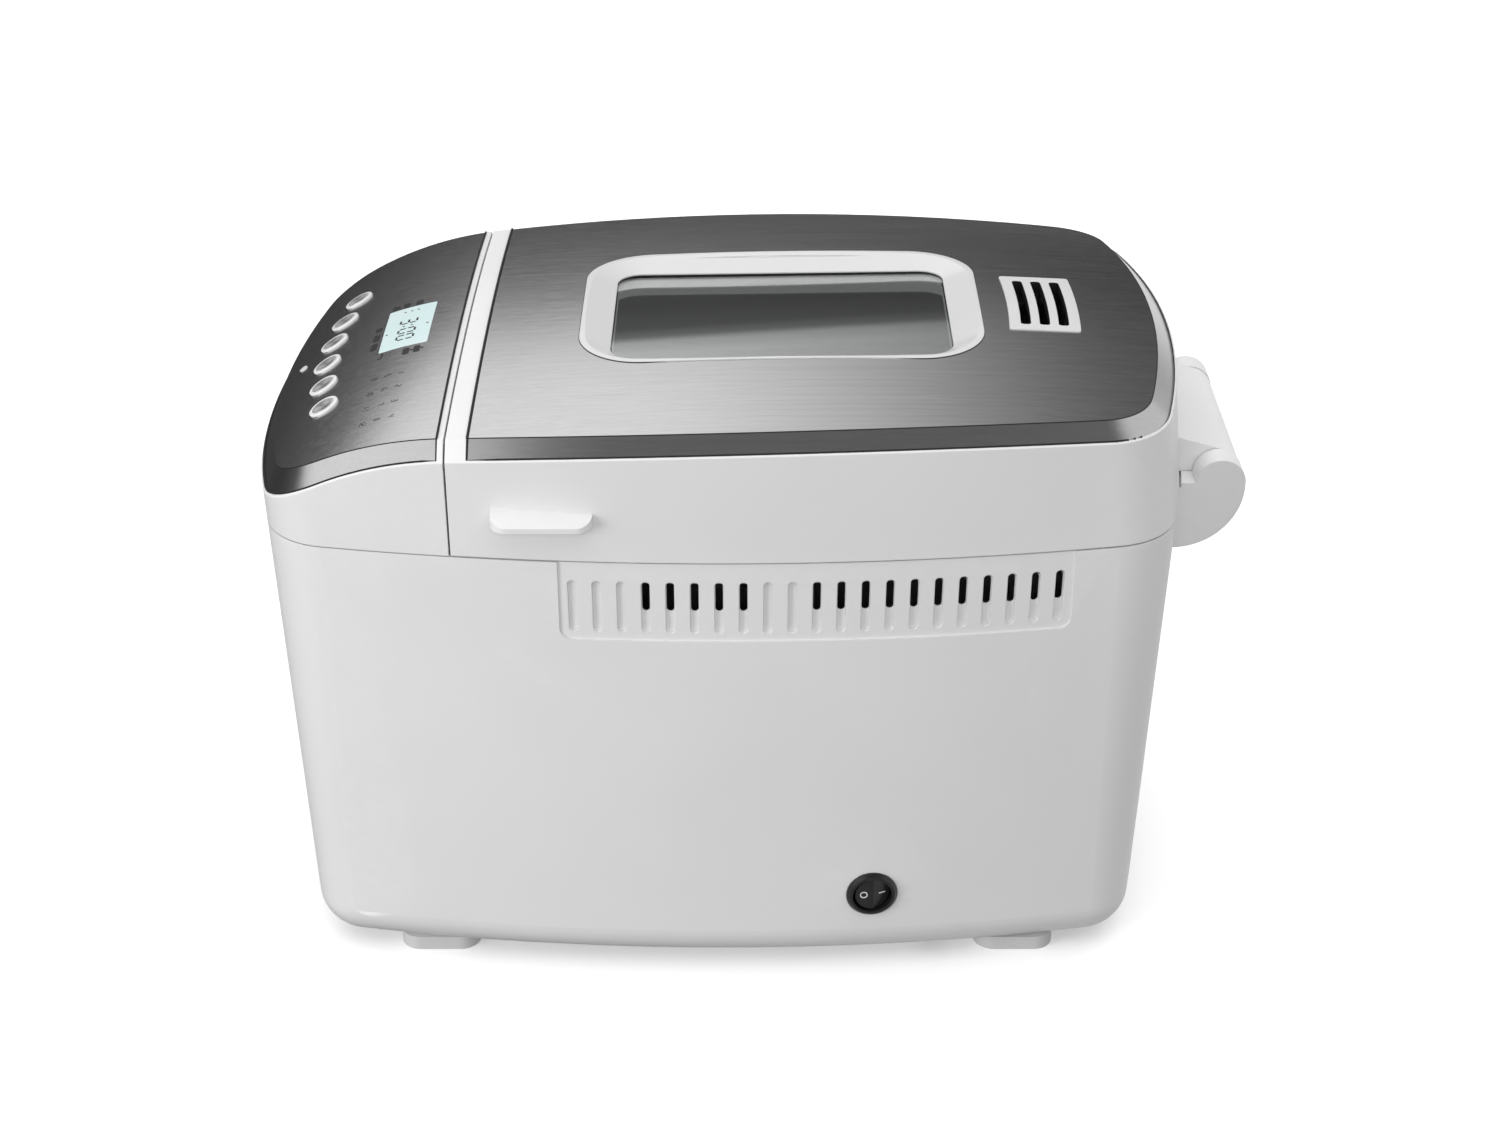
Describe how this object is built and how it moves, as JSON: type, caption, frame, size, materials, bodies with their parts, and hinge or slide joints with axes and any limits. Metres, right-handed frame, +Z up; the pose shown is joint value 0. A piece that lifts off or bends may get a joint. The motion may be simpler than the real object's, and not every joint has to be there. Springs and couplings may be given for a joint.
{
  "type": "bread machine",
  "caption": "Countertop bread machine with a hinged windowed lid, brushed steel top and control panel, push buttons, rocker switch, baking chamber, lift-out pan and belt-driven paddles.",
  "frame": {"origin": "on the floor under the centre of the whole machine's bounding box", "axes": "+Z up, +Y from the control panel towards the lid hinge, +X towards the side with the rocker switch"},
  "size_m": [0.2682, 0.431, 0.2794],
  "materials": {
    "white_plastic": "satin",
    "white_trim": "semi-gloss",
    "brushed_steel": "brushed along the length",
    "window_glass": "clear",
    "display_clear": "clear",
    "display_panel": "pale display",
    "soft_grey": "matt",
    "drive_rubber": "matt",
    "black_plastic": "semi-gloss",
    "circuit_board": "satin",
    "plated_steel": "plated",
    "sheet_metal": "coated sheet",
    "element_sheath": "matt",
    "castings": "as cast",
    "bush_metal": "sintered",
    "motor_iron": "lacquered",
    "capacitor_case": "semi-gloss",
    "pulley_plastic": "moulded",
    "pan_coating": "dark non-stick coating"
  },
  "bodies": {
    "body": {"body_casing": "white_plastic", "base_plate": "sheet_metal", "feet": "soft_grey", "base_screws": "plated_steel", "front_cover": "white_plastic", "control_facia": "brushed_steel", "display_lens": "display_clear", "display_module": "display_panel", "control_board": "circuit_board", "key_switches": "black_plastic", "indicator_lens": "display_clear", "inner_deck": "white_plastic", "baking_chamber": "sheet_metal", "heating_element": "element_sheath", "element_supports": "plated_steel", "temperature_probe": "plated_steel", "drive_base": "castings", "shaft_bushes": "bush_metal", "motor": "motor_iron", "motor_bracket": "sheet_metal", "motor_capacitor": "capacitor_case", "power_board": "circuit_board", "drive_belt": "drive_rubber", "link_belt": "drive_rubber", "switch_body": "black_plastic", "cord_gland": "black_plastic", "hinge_bracket": "white_plastic", "hinge_pin": "plated_steel", "pan_clips": "plated_steel"},
    "lid": {"lid_shell": "white_plastic", "lid_facia": "brushed_steel", "window_frame": "white_trim", "window_glass": "window_glass", "window_seal": "soft_grey", "lid_vent": "white_trim", "lid_liner": "sheet_metal", "lid_screws": "plated_steel"},
    "rocker": {"rocker": "black_plastic"},
    "drive_front": {"drive_shaft_front": "plated_steel", "drive_pulley": "pulley_plastic", "link_pulley_front": "pulley_plastic"},
    "drive_back": {"drive_shaft_back": "plated_steel", "link_pulley_back": "pulley_plastic"},
    "motor_rotor": {"motor_shaft": "plated_steel", "motor_pulley": "pulley_plastic"},
    "pan": {"bread_pan": "pan_coating", "pan_bushes": "bush_metal"},
    "handle": {"pan_handle": "plated_steel"},
    "coupling_front": {"pan_shaft_front": "plated_steel"},
    "coupling_back": {"pan_shaft_back": "plated_steel"},
    "paddle_front": {"paddle_front": "pan_coating"},
    "paddle_back": {"paddle_back": "pan_coating"},
    "button_1": {"button_1": "white_trim"},
    "button_2": {"button_2": "white_trim"},
    "button_3": {"button_3": "white_trim"},
    "button_4": {"button_4": "white_trim"},
    "button_5": {"button_5": "white_trim"},
    "button_6": {"button_6": "white_trim"}
  },
  "joints": [
    {"name": "lid_hinge", "type": "hinge", "parent": "body", "child": "lid", "pos_m": [0, 0.20472, 0.217], "axis": [-1, 0, 0], "range_deg": [0, 95]},
    {"name": "button_1_press", "type": "slide", "parent": "body", "child": "button_1", "axis": [0.0515, 0.4662, -0.8832], "range_m": [0, 0.001], "stiffness_N_per_m": 400},
    {"name": "button_2_press", "type": "slide", "parent": "body", "child": "button_2", "axis": [0.0313, 0.4857, -0.8736], "range_m": [0, 0.001], "stiffness_N_per_m": 400},
    {"name": "button_3_press", "type": "slide", "parent": "body", "child": "button_3", "axis": [0.0111, 0.4953, -0.8687], "range_m": [0, 0.001], "stiffness_N_per_m": 400},
    {"name": "button_4_press", "type": "slide", "parent": "body", "child": "button_4", "axis": [-0.0091, 0.4952, -0.8687], "range_m": [0, 0.001], "stiffness_N_per_m": 400},
    {"name": "button_5_press", "type": "slide", "parent": "body", "child": "button_5", "axis": [-0.0293, 0.4855, -0.8737], "range_m": [0, 0.001], "stiffness_N_per_m": 400},
    {"name": "button_6_press", "type": "slide", "parent": "body", "child": "button_6", "axis": [-0.0495, 0.4658, -0.8835], "range_m": [0, 0.001], "stiffness_N_per_m": 400},
    {"name": "rocker_tip", "type": "hinge", "parent": "body", "child": "rocker", "pos_m": [0.11382, 0.05415, 0.04282], "axis": [0.0522, 0.0039, 0.9986], "range_deg": [-20, 0]},
    {"name": "drive_spin", "type": "hinge", "parent": "body", "child": "drive_front", "pos_m": [0, -0.02008, 0.048], "axis": [0, 0, 1], "continuous": true},
    {"name": "link_spin", "type": "hinge", "parent": "body", "child": "drive_back", "pos_m": [0, 0.07992, 0.048], "axis": [0, 0, 1], "continuous": true},
    {"name": "motor_spin", "type": "hinge", "parent": "body", "child": "motor_rotor", "pos_m": [0, -0.14008, 0.06], "axis": [0, 0, 1], "continuous": true},
    {"name": "pan_lift", "type": "slide", "parent": "body", "child": "pan", "axis": [0, 0, 1], "range_m": [0, 0.015]},
    {"name": "handle_swing", "type": "hinge", "parent": "pan", "child": "handle", "pos_m": [0, 0.02992, 0.2045], "axis": [-1, 0, 0], "range_deg": [0, 10]},
    {"name": "coupling_front_spin", "type": "hinge", "parent": "pan", "child": "coupling_front", "pos_m": [0, -0.02008, 0.085], "axis": [0, 0, 1], "continuous": true},
    {"name": "paddle_front_lift", "type": "slide", "parent": "coupling_front", "child": "paddle_front", "axis": [0, 0, 1], "range_m": [0, 0.032]},
    {"name": "coupling_back_spin", "type": "hinge", "parent": "pan", "child": "coupling_back", "pos_m": [0, 0.07992, 0.085], "axis": [0, 0, 1], "continuous": true},
    {"name": "paddle_back_lift", "type": "slide", "parent": "coupling_back", "child": "paddle_back", "axis": [0, 0, 1], "range_m": [0, 0.032]}
  ],
  "couplings": [
    {"joint": "link_spin", "follows": "drive_spin", "ratio": 1},
    {"joint": "motor_spin", "follows": "drive_spin", "ratio": 5},
    {"joint": "coupling_front_spin", "follows": "drive_spin", "ratio": 1},
    {"joint": "coupling_back_spin", "follows": "drive_spin", "ratio": 1}
  ]
}
